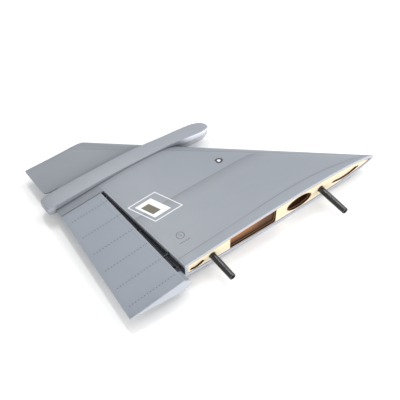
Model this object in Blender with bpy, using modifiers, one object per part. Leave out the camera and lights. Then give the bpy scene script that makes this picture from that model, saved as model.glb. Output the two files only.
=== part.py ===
"""Swept tail fin with hinged rudder, antenna pod and two joiner tubes, for a large model aeroplane.

Lengths below are millimetres in the fin's own layout: X runs forward from the root end of the hinge
line, Y runs from root to tip and Z is the fin's thickness, left side up.
"""
import math

import bmesh
import bpy
from mathutils import Matrix, Vector

# planform
ROOT_CHORD = 540.0
SPAN = 445.0
TIP_LEAD_X = 16.5
HINGE_SLOPE = 0.075
TAIL_X0 = -151.8
TAIL_SLOPE = 0.0749
TAIL_X_TIP = -130.0
# section
MAX_HALF = 31.0
THIN_RATE = 0.78
NOSE_POWER = 2.6
AFT_POWER = 1.6
AFT_DROP = 0.355
TAIL_HALF = 0.5
# fits
GAP = 0.3
SPLIT = 0.15
FIT = 0.55
# main panel
ROOT_Y = -2.5
PANEL_END = 294.0
SKIN_WALL = 3.0
RIM_WIDTH = 8.5
RIM_DEPTH = 3.0
STRIP_FRACTION = 0.015
# root rib
RIB_FRONT = -1.5
RIB_THICK = 4.5
DOUBLER_THICK = 3.0
BAY_X = (119.0, 246.0)
BAY_MARGIN = 1.5
OVAL_AT = (313.0, -0.5)
OVAL_SEMI = (35.0, 17.8)
# joiner tubes
TUBE_R = 7.5
TUBE_BORE = 4.6
REAR_TUBE_X = 71.0
REAR_TUBE_Y = (-72.0, 180.0)
FRONT_TUBE_X = 376.0
FRONT_TUBE_Y = (-83.0, 108.0)
# inner frame
SPAR_ROOT = (262.0, 6.7)
SPAR_TIP = (70.0, 286.6)
SPAR_THICK = 3.0
TUBE_RIB_Y = 98.0
MID_RIB_Y = 190.0
RIB_WOOD = 3.0
# rudder
RUDDER_LOW = -30.0
RUDDER_HIGH = 275.0
BAND_LOW = 276.3
AXIS_X0 = -20.0
AXIS_SLOPE = -0.033
RUDDER_WALL = 2.0
NOSE_R_LOW = 14.0
NOSE_R_HIGH = 6.0
NOSE_BACK = 8.0
END_RIB = 2.5
LUG_YS = (14.0, 140.0, 262.0)
LUG_R = 3.4
PIN_R = 1.0
PIN_HOLE = 1.3
# linkage, in a frame square to the hinge axis
LINK_Y = 46.6
LINK_SPAN = 165.0
LINK_R = 11.0
# pod
POD_WALL = 2.0
POD_ROOM = 0.7
# x, centre line y, half width, half height
POD_STATIONS = (
    (-148.0, 318.8, 15.2, 7.0),
    (-145.5, 319.4, 18.0, 9.6),
    (-135.0, 320.0, 20.2, 11.0),
    (-115.0, 320.1, 20.6, 12.6),
    (-85.0, 319.8, 20.2, 14.4),
    (-50.0, 319.4, 20.0, 16.0),
    (-10.0, 319.1, 19.8, 17.4),
    (50.0, 318.9, 19.6, 18.4),
    (100.0, 317.9, 19.5, 18.2),
    (130.0, 316.8, 18.8, 17.6),
    (155.0, 315.8, 17.9, 17.0),
    (180.0, 314.5, 16.9, 16.4),
    (205.0, 312.4, 17.8, 16.0),
    (230.0, 309.8, 18.6, 15.6),
    (248.0, 308.0, 18.8, 15.0),
    (262.0, 306.9, 17.6, 14.0),
    (273.0, 306.4, 14.9, 12.4),
    (281.5, 306.2, 11.0, 10.2),
    (288.0, 306.2, 5.6, 7.0),
)
# tip panel
TIP_START = 339.0
TIP_END = 441.5
CAP_DEPTH = 8.0
CAP_EDGE = 0.97
TIP_WALL = 1.5
CORNER_R = 4.0
HEEL_X = 34.0
HEEL_LOW = 349.5
HEEL_RISE = 16.5
HEEL_POWER = 3.0
DOWEL_R = 3.0
DOWEL_XS = (105.0, -5.0)
DOWEL_Y = (276.0, 356.0)

# the record's frame: origin under the middle of the part, metres
SHIFT = Vector((-194.1, -179.25, 31.05))
MM = 0.001

MATERIALS = {
    "skin_paint": (0.35, 0.38, 0.42, 1.0),
    "pod_paint": (0.39, 0.40, 0.41, 1.0),
    "rim_paint": (0.37, 0.40, 0.45, 1.0),
    "nose_paint": (0.03, 0.03, 0.045, 1.0),
    "ply": (0.85, 0.70, 0.45, 1.0),
    "brown_ply": (0.30, 0.14, 0.05, 1.0),
    "carbon": (0.02, 0.02, 0.022, 1.0),
    "steel": (0.5, 0.5, 0.52, 1.0),
    "servo_plastic": (0.03, 0.03, 0.035, 1.0),
    "arm_plastic": (0.06, 0.06, 0.065, 1.0),
}


# --- shape of the fin -------------------------------------------------------------------------

def lead_x(y):
    return ROOT_CHORD + (TIP_LEAD_X - ROOT_CHORD) * y / SPAN


def hinge_x(y):
    return -HINGE_SLOPE * y


def axis_x(y):
    return AXIS_X0 + AXIS_SLOPE * y


def tail_x(y):
    return min(TAIL_X0 + TAIL_SLOPE * y, TAIL_X_TIP)


def thin(y):
    return 1.0 - THIN_RATE * y / SPAN


def shape(f):
    """Half thickness from leading edge (0) to hinge line (1), as a share of the largest."""
    if f < 0.5:
        return math.sqrt(max(0.0, 1.0 - (1.0 - 2.0 * f) ** NOSE_POWER))
    return 1.0 - AFT_DROP * (2.0 * f - 1.0) ** AFT_POWER


def half_at(x, y):
    """Half thickness of the outer surface at a point of the planform."""
    front = lead_x(y)
    hinge = hinge_x(y)
    full = MAX_HALF * thin(y)
    if x >= hinge:
        return full * shape((front - x) / (front - hinge))
    share = (x - tail_x(y)) / (hinge - tail_x(y))
    return TAIL_HALF + (full * shape(1.0) - TAIL_HALF) * max(0.0, share)


def inner_half(x, y, depth):
    """Height of a surface lying the given depth under the outer one."""
    step = 0.5
    slope = (half_at(x - step, y) - half_at(x + step, y)) / (2.0 * step)
    return max(SPLIT, half_at(x, y) - depth * math.sqrt(1.0 + min(slope * slope, 1.5)))


def mix(a, b, t):
    return a + (b - a) * t


# --- scene helpers ----------------------------------------------------------------------------

def clear_scene():
    for obj in list(bpy.data.objects):
        bpy.data.objects.remove(obj)


clear_scene()
PARTS = bpy.data.collections.new("tail_fin")
CUTTERS = bpy.data.collections.new("cutters")
bpy.context.scene.collection.children.link(PARTS)
bpy.context.scene.collection.children.link(CUTTERS)


def material(name):
    found = bpy.data.materials.get(name)
    if found:
        return found
    made = bpy.data.materials.new(name)
    made.use_nodes = True
    shader = made.node_tree.nodes["Principled BSDF"]
    shader.inputs["Base Color"].default_value = MATERIALS[name]
    shader.inputs["Roughness"].default_value = 0.5
    return made


def world(point):
    return (Vector(point) + SHIFT) * MM


def make(name, slot, verts, faces, origin=None, frame=None, cutter=False):
    """Add one closed mesh. Points are millimetres in the fin's layout, or in frame if given."""
    base = world(origin) if origin is not None else Vector((0.0, 0.0, 0.0))
    mesh = bpy.data.meshes.new(name)
    placed = []
    for v in verts:
        p = frame @ Vector(v) if frame is not None else Vector(v)
        placed.append(world(p) - base)
    mesh.from_pydata(placed, [], faces)
    shell = bmesh.new()
    shell.from_mesh(mesh)
    bmesh.ops.remove_doubles(shell, verts=shell.verts, dist=2e-6)
    bmesh.ops.recalc_face_normals(shell, faces=shell.faces)
    shell.to_mesh(mesh)
    shell.free()
    obj = bpy.data.objects.new(name, mesh)
    obj.location = base
    if cutter:
        CUTTERS.objects.link(obj)
        obj.hide_render = True
        obj.display_type = "WIRE"
    else:
        PARTS.objects.link(obj)
        mesh.materials.append(material(slot))
    return obj


def cut(obj, cutters):
    """Cut each cutter out of obj."""
    for index, tool in enumerate(cutters):
        mod = obj.modifiers.new("cut_%d" % index, "BOOLEAN")
        mod.operation = "DIFFERENCE"
        mod.solver = "EXACT"
        mod.object = tool


def box_cutter(name, low, high, frame=None):
    verts = []
    for x in (low[0], high[0]):
        for y in (low[1], high[1]):
            for z in (low[2], high[2]):
                verts.append((x, y, z))
    faces = [(0, 1, 3, 2), (4, 6, 7, 5), (0, 4, 5, 1), (2, 3, 7, 6), (0, 2, 6, 4), (1, 5, 7, 3)]
    return make(name, None, verts, faces, frame=frame, cutter=True)


def loft(sections):
    """Faces and points of a solid through closed sections, each a list of 3-D points."""
    count = len(sections[0])
    verts = [p for section in sections for p in section]
    faces = []
    for i in range(len(sections) - 1):
        for j in range(count):
            k = (j + 1) % count
            faces.append((i * count + j, i * count + k, (i + 1) * count + k, (i + 1) * count + j))
    faces.append(tuple(range(count - 1, -1, -1)))
    last = (len(sections) - 1) * count
    faces.append(tuple(range(last, last + count)))
    return verts, faces


def ring(centre, radius, count=24, start=0.0, sweep=2.0 * math.pi):
    """Points round a circle in a plate's own plane."""
    points = []
    for i in range(count):
        a = start + sweep * i / count
        points.append((centre[0] + radius * math.cos(a), centre[1] + radius * math.sin(a)))
    return points


def rod(name, slot, start, end, radius, frame=None, origin=None, count=20, cutter=False):
    """A round bar between two points."""
    a = Vector(start)
    b = Vector(end)
    along = (b - a).normalized()
    side = along.orthogonal().normalized()
    up = along.cross(side)
    sections = []
    for centre in (a, b):
        section = []
        for c, s in ring((0.0, 0.0), radius, count):
            section.append(tuple(centre + side * c + up * s))
        sections.append(section)
    verts, faces = loft(sections)
    return make(name, slot, verts, faces, origin=origin, frame=frame, cutter=cutter)


def lathe(name, slot, profile, start, direction, steps=24, frame=None, origin=None):
    """Revolve a closed (radius, distance) profile round an axis."""
    centre = frame @ Vector(start) if frame is not None else Vector(start)
    along = frame.to_3x3() @ Vector(direction) if frame is not None else Vector(direction)
    mesh = bpy.data.meshes.new(name)
    points = [Vector((r * MM, 0.0, t * MM)) for r, t in profile]
    edges = [(i, (i + 1) % len(points)) for i in range(len(points))]
    if profile[0][0] == 0.0 and profile[-1][0] == 0.0:
        edges.pop()
    mesh.from_pydata(points, edges, [])
    obj = bpy.data.objects.new(name, mesh)
    CUTTERS.objects.link(obj)
    turn = obj.modifiers.new("turn", "SCREW")
    turn.axis = "Z"
    turn.angle = 2.0 * math.pi
    turn.steps = steps
    turn.render_steps = steps
    turn.use_merge_vertices = True
    turn.merge_threshold = 0.00001
    graph = bpy.context.evaluated_depsgraph_get()
    solid = bpy.data.meshes.new_from_object(obj.evaluated_get(graph))
    bpy.data.objects.remove(obj)
    base = world(origin) if origin is not None else Vector((0.0, 0.0, 0.0))
    tilt = Vector((0.0, 0.0, 1.0)).rotation_difference(along).to_matrix().to_4x4()
    solid.transform(Matrix.Translation(world(centre) - base) @ tilt)
    shell = bmesh.new()
    shell.from_mesh(solid)
    bmesh.ops.remove_doubles(shell, verts=shell.verts, dist=2e-6)
    bmesh.ops.recalc_face_normals(shell, faces=shell.faces)
    shell.to_mesh(solid)
    shell.free()
    solid.name = name
    made = bpy.data.objects.new(name, solid)
    made.location = base
    PARTS.objects.link(made)
    solid.materials.append(material(slot))
    return made


def plate(name, slot, loops, low, high, frame=None, origin=None):
    """A flat plate with holes: loops of (x, z), the outer one first, between two y values."""
    curve = bpy.data.curves.new(name, "CURVE")
    curve.dimensions = "2D"
    curve.fill_mode = "BOTH"
    curve.extrude = (high - low) / 2.0
    for loop in loops:
        spline = curve.splines.new("POLY")
        spline.points.add(len(loop) - 1)
        for point, (x, z) in zip(spline.points, loop):
            point.co = (x, z, 0.0, 1.0)
        spline.use_cyclic_u = True
    holder = bpy.data.objects.new(name, curve)
    CUTTERS.objects.link(holder)
    graph = bpy.context.evaluated_depsgraph_get()
    flat = bpy.data.meshes.new_from_object(holder.evaluated_get(graph))
    middle = (low + high) / 2.0
    verts = [(v.co.x, middle + v.co.z, v.co.y) for v in flat.vertices]
    faces = [tuple(p.vertices) for p in flat.polygons]
    bpy.data.objects.remove(holder)
    return make(name, slot, verts, faces, frame=frame, origin=origin)


def half_shell(name, slot, rows, side, origin=None):
    """A half skin: rows of (outer, inner) points from front edge to split plane, side +1 or -1."""
    count = len(rows[0][0])
    verts = []
    for outer, inner in rows:
        verts.extend(outer)
        verts.extend(inner)
    verts = [(x, y, z * side) for x, y, z in verts]
    faces = []
    step = 2 * count
    for i in range(len(rows) - 1):
        for j in range(count - 1):
            a = i * step + j
            faces.append((a, a + 1, a + step + 1, a + step))
            b = a + count
            faces.append((b, b + step, b + step + 1, b + 1))
    for i in (0, len(rows) - 1):
        for j in range(count - 1):
            a = i * step + j
            faces.append((a, a + count, a + count + 1, a + 1))
    for j in (0, count - 1):
        outer_edge = [i * step + j for i in range(len(rows))]
        inner_edge = [i * step + count + j for i in range(len(rows) - 1, -1, -1)]
        faces.append(tuple(outer_edge + inner_edge))
    return make(name, slot, verts, faces, origin=origin)


def pod_side(x, way):
    """Line a neighbour of the pod keeps to: way -1 on the root side, +1 on the tip side."""
    x = min(max(x, POD_STATIONS[0][0]), POD_STATIONS[-1][0])
    for (x0, y0, w0, _), (x1, y1, w1, _) in zip(POD_STATIONS, POD_STATIONS[1:]):
        if x0 <= x <= x1:
            t = (x - x0) / (x1 - x0)
            return mix(y0, y1, t) + way * (mix(w0, w1, t) + POD_ROOM)
    return 0.0


# --- main panel -------------------------------------------------------------------------------

COLUMNS = (0.03, 0.05, 0.08, 0.12, 0.17, 0.23, 0.3, 0.38, 0.46, 0.55, 0.65, 0.75, 0.85, 0.955)


def chord_x(f, y):
    return mix(lead_x(y), hinge_x(y), f)


def end_y(f):
    """Where a line at a fixed share of the chord meets the pod's side."""
    y = PANEL_END
    for _ in range(12):
        y = pod_side(chord_x(f, y), -1.0)
    return y


def panel_row(y, wall, inset=0.0, last=False):
    """One row of the main skin: outer and inner points, the wall at the hinge line last."""
    outer = []
    inner = []
    for f in (STRIP_FRACTION,) + COLUMNS:
        if last:
            y = end_y(f)
        x = chord_x(f, y)
        outer.append((x, y, inner_half(x, y, inset) if inset else half_at(x, y)))
        inner.append((x, y, inner_half(x, y, wall)))
    back = hinge_x(y) + inset
    outer.append((back, y, half_at(back, y) - inset))
    outer.append((back, y, SPLIT))
    face = hinge_x(y) + wall
    inner.append((face, y, inner_half(face, y, wall)))
    inner.append((face, y, SPLIT))
    return outer, inner


def main_skins():
    rows = [
        panel_row(ROOT_Y, RIM_WIDTH, 1.1),
        panel_row(ROOT_Y + 0.4, RIM_WIDTH, 0.35),
        panel_row(ROOT_Y + 1.2, RIM_WIDTH),
        panel_row(ROOT_Y + RIM_DEPTH, RIM_WIDTH),
    ]
    # the row at the rim's back edge is shared by both depths
    for y in (ROOT_Y + RIM_DEPTH, 100.0, 200.0):
        rows.append(panel_row(y, SKIN_WALL))
    rows.append(panel_row(PANEL_END, SKIN_WALL, last=True))
    left = half_shell("fin_skin_left", "skin_paint", rows, 1.0)
    half_shell("fin_skin_right", "skin_paint", rows, -1.0)
    return left


def leading_edge():
    sections = []
    for y, inset in ((ROOT_Y, 0.8), (ROOT_Y + 1.2, 0.0), (end_y(0.0) - 0.6, 0.0)):
        back = chord_x(STRIP_FRACTION, y) + GAP
        front = lead_x(y) - inset
        upper = []
        for t in (0.0, 0.3, 0.6, 0.82, 0.95):
            x = mix(back, front, t)
            upper.append((x, y, max(0.3, half_at(x, y) - inset)))
        section = upper + [(front, y, 0.0)] + [(x, y, -z) for x, y, z in reversed(upper)]
        sections.append(section)
    verts, faces = loft(sections)
    make("leading_edge_strip", "skin_paint", verts, faces)


def skin_chord(x, y, depth):
    """Height of the skin's flat facets at x, the given depth under its surface."""
    knots = [chord_x(f, y) for f in (STRIP_FRACTION,) + COLUMNS]
    knots.append(hinge_x(y) + depth)
    for ahead, behind in zip(knots, knots[1:]):
        if behind <= x <= ahead:
            t = (x - behind) / (ahead - behind)
            return mix(inner_half(behind, y, depth), inner_half(ahead, y, depth), t)
    return inner_half(x, y, depth)


def section_loop(y, depth, front, back):
    """Closed outline of the space inside the panel, the given depth under its surface."""
    xs = [back]
    for f in reversed(COLUMNS):
        x = chord_x(f, y)
        if back + 2.0 < x < front - 2.0:
            xs.append(x)
    xs.append(front)
    upper = []
    for x in xs:
        upper.append((x, min(skin_chord(x, y, depth), skin_chord(x, y - RIB_THICK, depth))))
    return upper + [(x, -z) for x, z in reversed(upper)]


def pocket(points, width):
    """A shallow pocket: an arc through three points and a chord that closes it."""
    (x0, z0), (x1, z1), (x2, z2) = points
    loop = []
    steps = 10
    for i in range(steps + 1):
        t = i / steps
        a = (1 - t) * (1 - 2 * t)
        b = 4 * t * (1 - t)
        c = t * (2 * t - 1)
        loop.append((a * x0 + b * x1 + c * x2, a * z0 + b * z1 + c * z2))
    for i in range(steps - 1, 0, -1):
        t = i / steps
        loop.append((mix(x0, x2, t), mix(z0, z2, t) + width * 4 * t * (1 - t)))
    return loop


def bay_loop(grow=0.0):
    """The bay opening: its long edges follow the rib's outline a margin inside it."""
    left = BAY_X[0] - grow
    right = BAY_X[1] + grow
    margin = RIM_WIDTH + 0.4 + BAY_MARGIN - grow
    y = RIB_FRONT + RIB_THICK
    lower = []
    for t in (0.0, 0.33, 0.66, 0.92, 0.975):
        x = mix(left, right, t)
        lower.append((x, -(half_at(x, y) - margin)))
    lower.append((right - 0.8, lower[-1][1] + 1.6))
    lower.append((right, lower[-1][1] + 3.2))
    upper = []
    for t in (1.0, 0.66, 0.33, 0.0):
        x = mix(left, right, t)
        upper.append((x, half_at(x, y) - margin))
    return lower + upper


def oval_loop(grow=0.0, count=28):
    loop = []
    for i in range(count):
        a = 2 * math.pi * i / count
        loop.append((OVAL_AT[0] + (OVAL_SEMI[0] + grow) * math.cos(a),
                     OVAL_AT[1] + (OVAL_SEMI[1] + grow) * math.sin(a)))
    return loop


def root_ribs():
    holes = [ring((REAR_TUBE_X, 0.0), TUBE_R + GAP), ring((FRONT_TUBE_X, 0.0), TUBE_R + GAP)]
    low = RIB_FRONT
    high = RIB_FRONT + RIB_THICK
    front = chord_x(STRIP_FRACTION, high) - 4.0
    outline = section_loop(high, RIM_WIDTH + 0.4, front, hinge_x(high) + RIM_WIDTH + 0.4)
    pockets = [pocket(((11.5, -5.5), (31.5, -11.2), (52.5, -2.0)), 9.0),
               pocket(((409.0, -4.5), (454.0, -12.6), (496.0, -1.0)), 9.0)]
    plate("root_rib", "ply", [outline, bay_loop(), oval_loop()] + holes + pockets, low, high)
    low = high + GAP
    high = low + DOUBLER_THICK
    front = chord_x(STRIP_FRACTION, high) - 3.0
    outline = section_loop(high, SKIN_WALL + FIT, front, hinge_x(high) + SKIN_WALL + FIT)
    plate("root_doubler", "ply", [outline, bay_loop(-1.6), oval_loop(-1.2)] + holes, low, high)
    # back wall of the bay
    low = high + GAP
    left = BAY_X[0] - 6.0
    right = BAY_X[1] + 6.0
    outline = section_loop(low + 3.0, SKIN_WALL + FIT, right, left)
    plate("bay_wall", "brown_ply", [outline], low, low + 3.0)


def tubes():
    for name, x, (low, high) in (
        ("joiner_tube_rear", REAR_TUBE_X, REAR_TUBE_Y),
        ("joiner_tube_front", FRONT_TUBE_X, FRONT_TUBE_Y),
    ):
        length = high - low
        profile = [
            (TUBE_BORE, 0.5),
            (TUBE_BORE + 0.5, 0.0),
            (TUBE_R - 0.7, 0.0),
            (TUBE_R, 0.7),
            (TUBE_R, length),
            (TUBE_BORE, length),
        ]
        lathe(name, "carbon", profile, (x, low, 0.0), (0.0, 1.0, 0.0))


def spar_x(y):
    t = (y - SPAR_ROOT[1]) / (SPAR_TIP[1] - SPAR_ROOT[1])
    return mix(SPAR_ROOT[0], SPAR_TIP[0], t)


def inner_frame():
    sections = []
    start = RIB_FRONT + RIB_THICK + GAP + DOUBLER_THICK + GAP
    for y in (start, 100.0, 200.0, SPAR_TIP[1]):
        section = []
        for sx, sz in ((-1, -1), (1, -1), (1, 1), (-1, 1)):
            x = spar_x(y) + sx * SPAR_THICK / 2.0
            section.append((x, y, sz * inner_half(x, y, SKIN_WALL + FIT)))
        sections.append(section)
    verts, faces = loft(sections)
    make("main_spar", "ply", verts, faces)
    for name, y, holes_front, holes_rear in (
        ("tube_rib", TUBE_RIB_Y, [FRONT_TUBE_X], [REAR_TUBE_X]),
        ("mid_rib", MID_RIB_Y, [], []),
    ):
        high = y + RIB_WOOD
        front = chord_x(STRIP_FRACTION, high) - 3.0
        edge = spar_x(y) + SPAR_THICK / 2.0 + 1.2
        outline = section_loop(high, SKIN_WALL + FIT, front, edge)
        holes = [ring((x, 0.0), TUBE_R + GAP) for x in holes_front]
        plate(name + "_front", "ply", [outline] + holes, y, high)
        edge = spar_x(high) - SPAR_THICK / 2.0 - 1.2
        outline = section_loop(high, SKIN_WALL + FIT, edge, hinge_x(y) + SKIN_WALL + FIT)
        holes = [ring((x, 0.0), TUBE_R + GAP) for x in holes_rear]
        plate(name + "_rear", "ply", [outline] + holes, y, high)
    high = end_y(STRIP_FRACTION) - GAP
    low = high - RIB_WOOD
    front = chord_x(STRIP_FRACTION, high) - 2.0
    outline = section_loop(high, SKIN_WALL + FIT, front, hinge_x(low) + SKIN_WALL + FIT)
    holes = [ring((x, 0.0), DOWEL_R + GAP, 16) for x in DOWEL_XS]
    plate("outer_rib", "ply", [outline] + holes, low, high)


# --- pod and tip ------------------------------------------------------------------------------

POD_SECTION = ((1.0, 0.0), (1.0, 0.86), (0.985, 0.925), (0.94, 0.965), (0.6, 0.985), (0.3, 0.997))


def pod_row(x, middle, width, height):
    shares = list(POD_SECTION) + [(0.0, 1.0)]
    shares += [(-u, v) for u, v in reversed(POD_SECTION)]
    return [(x, middle + u * width, max(SPLIT, v * height)) for u, v in shares]


def pod():
    outer = [pod_row(*station) for station in POD_STATIONS]
    inner = []
    for x, y, w, h in POD_STATIONS[1:-1]:
        x = min(max(x, POD_STATIONS[1][0] + POD_WALL), POD_STATIONS[-2][0] - POD_WALL)
        inner.append(pod_row(x, y, w - POD_WALL, max(h - POD_WALL, 1.0)))
    tools = []
    for index, x in enumerate(DOWEL_XS):
        tools.append(rod("dowel_hole_%d" % index, None, (x, 270.0, 0.0), (x, 360.0, 0.0),
                         DOWEL_R + GAP, count=16, cutter=True))
    for name, side in (("pod_shell_left", 1.0), ("pod_shell_right", -1.0)):
        count = len(outer[0])
        verts = [(x, y, z * side) for row in outer + inner for x, y, z in row]
        faces = []
        for rows, base in ((len(outer), 0), (len(inner), len(outer) * count)):
            for i in range(rows - 1):
                for j in range(count - 1):
                    a = base + i * count + j
                    faces.append((a, a + 1, a + count + 1, a + count))
            faces.append(tuple(range(base, base + count)))
            end = base + (rows - 1) * count
            faces.append(tuple(range(end, end + count)))
        # split face: a flat ring between the outer and the inner outline
        out_loop = [i * count for i in range(len(outer))]
        out_loop += [i * count + count - 1 for i in range(len(outer) - 1, -1, -1)]
        base = len(outer) * count
        in_loop = [base + i * count for i in range(len(inner))]
        in_loop += [base + i * count + count - 1 for i in range(len(inner) - 1, -1, -1)]
        top = len(outer)
        low = len(inner)
        faces.append((0, count, base, base + count - 1, 2 * count - 1, count - 1))
        for i in range(1, top - 2):
            faces.append((out_loop[i], out_loop[i + 1], in_loop[i], in_loop[i - 1]))
            a = 2 * top - 1 - i
            b = 2 * low - i
            faces.append((out_loop[a], out_loop[a - 1], in_loop[b - 1], in_loop[b]))
        faces.append((out_loop[top - 2], out_loop[top - 1], out_loop[top], out_loop[top + 1],
                      in_loop[low], in_loop[low - 1]))
        shell = make(name, "pod_paint", verts, faces)
        cut(shell, tools)


TIP_SHARES = (0.0, 0.01, 0.03, 0.07, 0.13, 0.22, 0.34, 0.48, 0.64, 0.8, 0.92, 1.0)


def tip_row(y, wall, follow=False, heel=0.0):
    """One row of a tip skin; follow bends the row round the pod's side."""
    outer = []
    inner = []
    front = lead_x(y)
    back = tail_x(y) + heel
    for t in TIP_SHARES:
        x = mix(front, back, t)
        row_y = pod_side(x, 1.0) if follow else y
        z = max(half_at(x, y), TAIL_HALF) if t > 0.0 else TAIL_HALF
        z = max(z, TAIL_HALF)
        outer.append((x, row_y, z))
        inside = min(max(x, back + wall), front - wall)
        inner.append((inside, row_y, inner_half(inside, y, wall)))
    outer.insert(0, (outer[0][0], outer[0][1], SPLIT))
    inner.insert(0, (inner[0][0], inner[0][1], SPLIT))
    outer.append((outer[-1][0], outer[-1][1], SPLIT))
    inner.append((inner[-1][0], inner[-1][1], SPLIT))
    return outer, inner


def heel_inset(share):
    """How far the tip's rear corner is cut away, at a share of the heel's rise."""
    n = HEEL_POWER
    return HEEL_X * (1.0 - (1.0 - (1.0 - share) ** n) ** (1.0 / n))


def tip_cap():
    """The rounded end of the tip: sections that thin down over the cap's depth."""
    low = TIP_END - CAP_DEPTH
    sections = []
    for share in (0.0, 0.35, 0.65, 0.87, 1.0):
        y = mix(low, TIP_END, share)
        corner = CORNER_R * (1.0 - math.sqrt(1.0 - share * share))
        slim = math.sqrt(1.0 - (CAP_EDGE * share) ** 2)
        upper = []
        for t in TIP_SHARES:
            x = mix(lead_x(y) - corner, tail_x(y) + 0.5 * corner, t)
            upper.append((x, y, max(TAIL_HALF * 0.8, half_at(x, y) * slim)))
        sections.append(upper + [(x, y, -z) for x, y, z in reversed(upper)])
    verts, faces = loft(sections)
    make("tip_cap", "skin_paint", verts, faces)


def tip():
    rows = [tip_row(TIP_START, TIP_WALL, follow=True, heel=HEEL_X)]
    for share in (0.0, 0.07, 0.18, 0.4, 0.7, 1.0):
        y = HEEL_LOW + HEEL_RISE * share
        rows.append(tip_row(y, TIP_WALL, heel=heel_inset(share)))
    rows.append(tip_row(TIP_END - CAP_DEPTH - SPLIT, TIP_WALL))
    half_shell("tip_skin_left", "skin_paint", rows, 1.0)
    half_shell("tip_skin_right", "skin_paint", rows, -1.0)
    tip_cap()
    low = TIP_START + 2.6
    high = low + END_RIB
    front = lead_x(high) - 5.0
    back = tail_x(high) + HEEL_X + 6.0
    xs = [mix(back, front, t) for t in (0.0, 0.2, 0.4, 0.55, 0.7, 0.82, 0.92, 0.97, 1.0)]
    upper = [(x, inner_half(x, high, TIP_WALL + 1.0)) for x in xs]
    loop = upper + [(x, -z) for x, z in reversed(upper)]
    plate("tip_root_rib", "ply", [loop] + [ring((x, 0.0), DOWEL_R + GAP, 16) for x in DOWEL_XS],
          low, high)
    for index, x in enumerate(DOWEL_XS):
        rod("tip_dowel_%d" % (index + 1), "carbon", (x, DOWEL_Y[0], 0.0), (x, DOWEL_Y[1], 0.0),
            DOWEL_R, count=16)


def trailing_band():
    """The fixed wedge between the rudder's top and the pod."""
    sections = []
    for t in (0.0, 0.5, 0.8, 1.0):
        low = []
        high = []
        x = mix(hinge_x(BAND_LOW) - GAP, tail_x(BAND_LOW), t)
        low_z = half_at(x, BAND_LOW)
        end = pod_side(x, -1.0)
        x_end = mix(hinge_x(end) - GAP, tail_x(end), t)
        end_z = half_at(x_end, end)
        low = [(x, BAND_LOW, -low_z), (x, BAND_LOW, low_z)]
        high = [(x_end, end, end_z), (x_end, end, -end_z)]
        sections.append(low + high)
    verts, faces = loft(sections)
    make("trailing_band", "skin_paint", verts, faces)


# --- rudder -----------------------------------------------------------------------------------

PIVOT = (axis_x(LINK_Y), LINK_Y, 0.0)


def rudder_skins():
    rows = []
    for y in (RUDDER_LOW + END_RIB + GAP, 120.0, RUDDER_HIGH):
        outer = []
        inner = []
        front = axis_x(y)
        back = tail_x(y)
        for t in (0.0, 0.45, 0.88, 1.0):
            x = mix(front, back, t)
            outer.append((x, y, half_at(x, y)))
            inner.append((min(front, max(x, back + RUDDER_WALL)), y,
                          max(SPLIT, half_at(x, y) - RUDDER_WALL)))
        outer.append((back, y, SPLIT))
        inner.append((back + RUDDER_WALL + 4.0, y, SPLIT))
        rows.append((outer, inner))
    half_shell("rudder_skin_left", "skin_paint", rows, 1.0, origin=PIVOT)
    half_shell("rudder_skin_right", "skin_paint", rows, -1.0, origin=PIVOT)


def nose_radius(y):
    return mix(NOSE_R_LOW, NOSE_R_HIGH, (y - RUDDER_LOW) / (RUDDER_HIGH - RUDDER_LOW))


def nose_loop(y, back):
    """D outline of the rudder's nose about the hinge axis, as (x, z)."""
    r = nose_radius(y)
    loop = [(axis_x(y) - back, -r)]
    for i in range(13):
        a = -math.pi / 2 + math.pi * i / 12
        loop.append((axis_x(y) + r * math.cos(a), r * math.sin(a)))
    loop.append((axis_x(y) - back, r))
    return loop


def rudder_nose():
    low = RUDDER_LOW + END_RIB + GAP
    high = RUDDER_HIGH - END_RIB - GAP
    sections = []
    for y in (low, high):
        sections.append([(x, y, z) for x, z in nose_loop(y, NOSE_BACK)])
    verts, faces = loft(sections)
    nose = make("rudder_nose", "nose_paint", verts, faces, origin=PIVOT)
    tools = []
    for index, y in enumerate(LUG_YS):
        x = axis_x(y)
        tools.append(box_cutter("lug_slot_%d" % index, (x - LUG_R - 1.0, y - 3.0, -20.0),
                                (x + 20.0, y + 3.0, 20.0)))
        tools.append(rod("pin_bore_%d" % index, None, (axis_x(y - 10.5), y - 10.5, 0.0),
                         (axis_x(y + 10.5), y + 10.5, 0.0), PIN_HOLE, count=12, cutter=True))
    tools.append(box_cutter("horn_slot", (-4.2, -2.4, -20.0), (20.0, 5.4, 20.0), frame=LINK))
    cut(nose, tools)


def rudder_ribs():
    for name, slot, low, high, hollow in (
        ("rudder_root_rib", "rim_paint", RUDDER_LOW, RUDDER_LOW + END_RIB, False),
        ("rudder_mid_rib", "ply", 120.0, 122.0, True),
        ("rudder_top_rib", "ply", RUDDER_HIGH - END_RIB, RUDDER_HIGH, True),
    ):
        y = high
        if hollow:
            front = axis_x(y) - NOSE_BACK - 0.6
            back = tail_x(y) + 24.0
            xs = [front, back]
            upper = [(x, half_at(x, y) - RUDDER_WALL - FIT) for x in xs]
            loop = upper + [(x, -z) for x, z in reversed(upper)]
        else:
            front = axis_x(y)
            back = tail_x(y)
            nose = nose_loop(y, 0.0)[1:-1]
            loop = [(front, half_at(front, y)), (back, half_at(back, y)),
                    (back, -half_at(back, y)), (front, -half_at(front, y))]
            loop += nose
        plate(name, slot, [loop], low, high, origin=PIVOT)


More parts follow.
